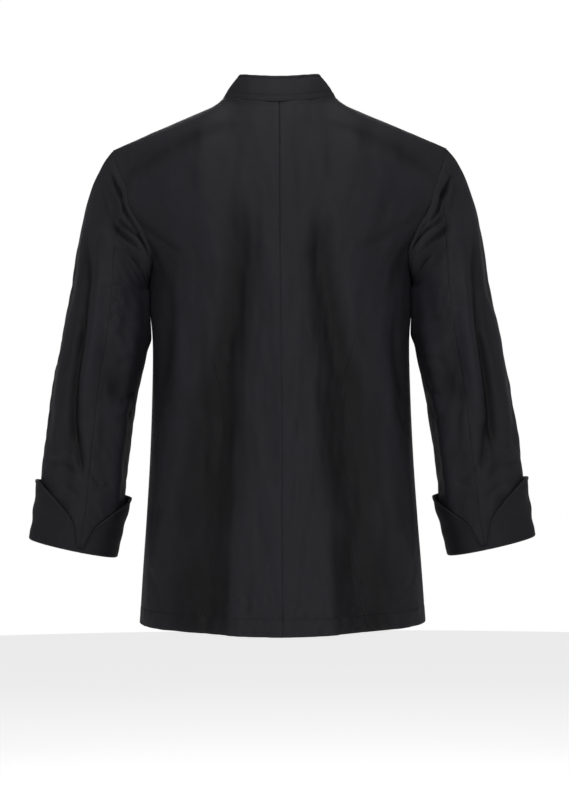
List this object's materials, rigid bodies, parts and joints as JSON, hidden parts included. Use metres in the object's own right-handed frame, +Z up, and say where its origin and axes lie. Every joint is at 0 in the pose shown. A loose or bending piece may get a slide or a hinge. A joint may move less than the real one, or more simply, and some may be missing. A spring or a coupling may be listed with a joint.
{
  "type": "chef jacket",
  "caption": "Black double-breasted chef jacket, filled out as worn with nobody inside: stand collar, long two-piece sleeves, notched turned-back cuffs, curved hem.",
  "frame": {"origin": "middle of the neck, level with the shoulder seams where they meet the collar, where a wearer's neck and shoulders hold the jacket up", "axes": "+Z up from the hem to the collar, -Y out of the buttoned front, +Y out of the back, +X to the wearer's left"},
  "size_m": [0.726, 0.2838, 0.7818],
  "materials": {
    "twill": "matt black cotton and polyester twill with a faint sheen",
    "buttons": "satin black moulded plastic"
  },
  "bodies": {
    "root": {"back_left": "twill", "back_right": "twill", "side_back_left": "twill", "side_back_right": "twill", "front_left": "twill", "front_right": "twill", "top_sleeve_left": "twill", "top_sleeve_right": "twill", "under_sleeve_left": "twill", "under_sleeve_right": "twill", "cuff_left": "twill", "cuff_right": "twill", "collar": "twill", "button_left_1": "buttons", "button_left_2": "buttons", "button_left_3": "buttons", "button_left_4": "buttons", "button_left_5": "buttons", "button_right_1": "buttons", "button_right_2": "buttons", "button_right_3": "buttons", "button_right_4": "buttons", "button_right_5": "buttons"}
  },
  "joints": []
}
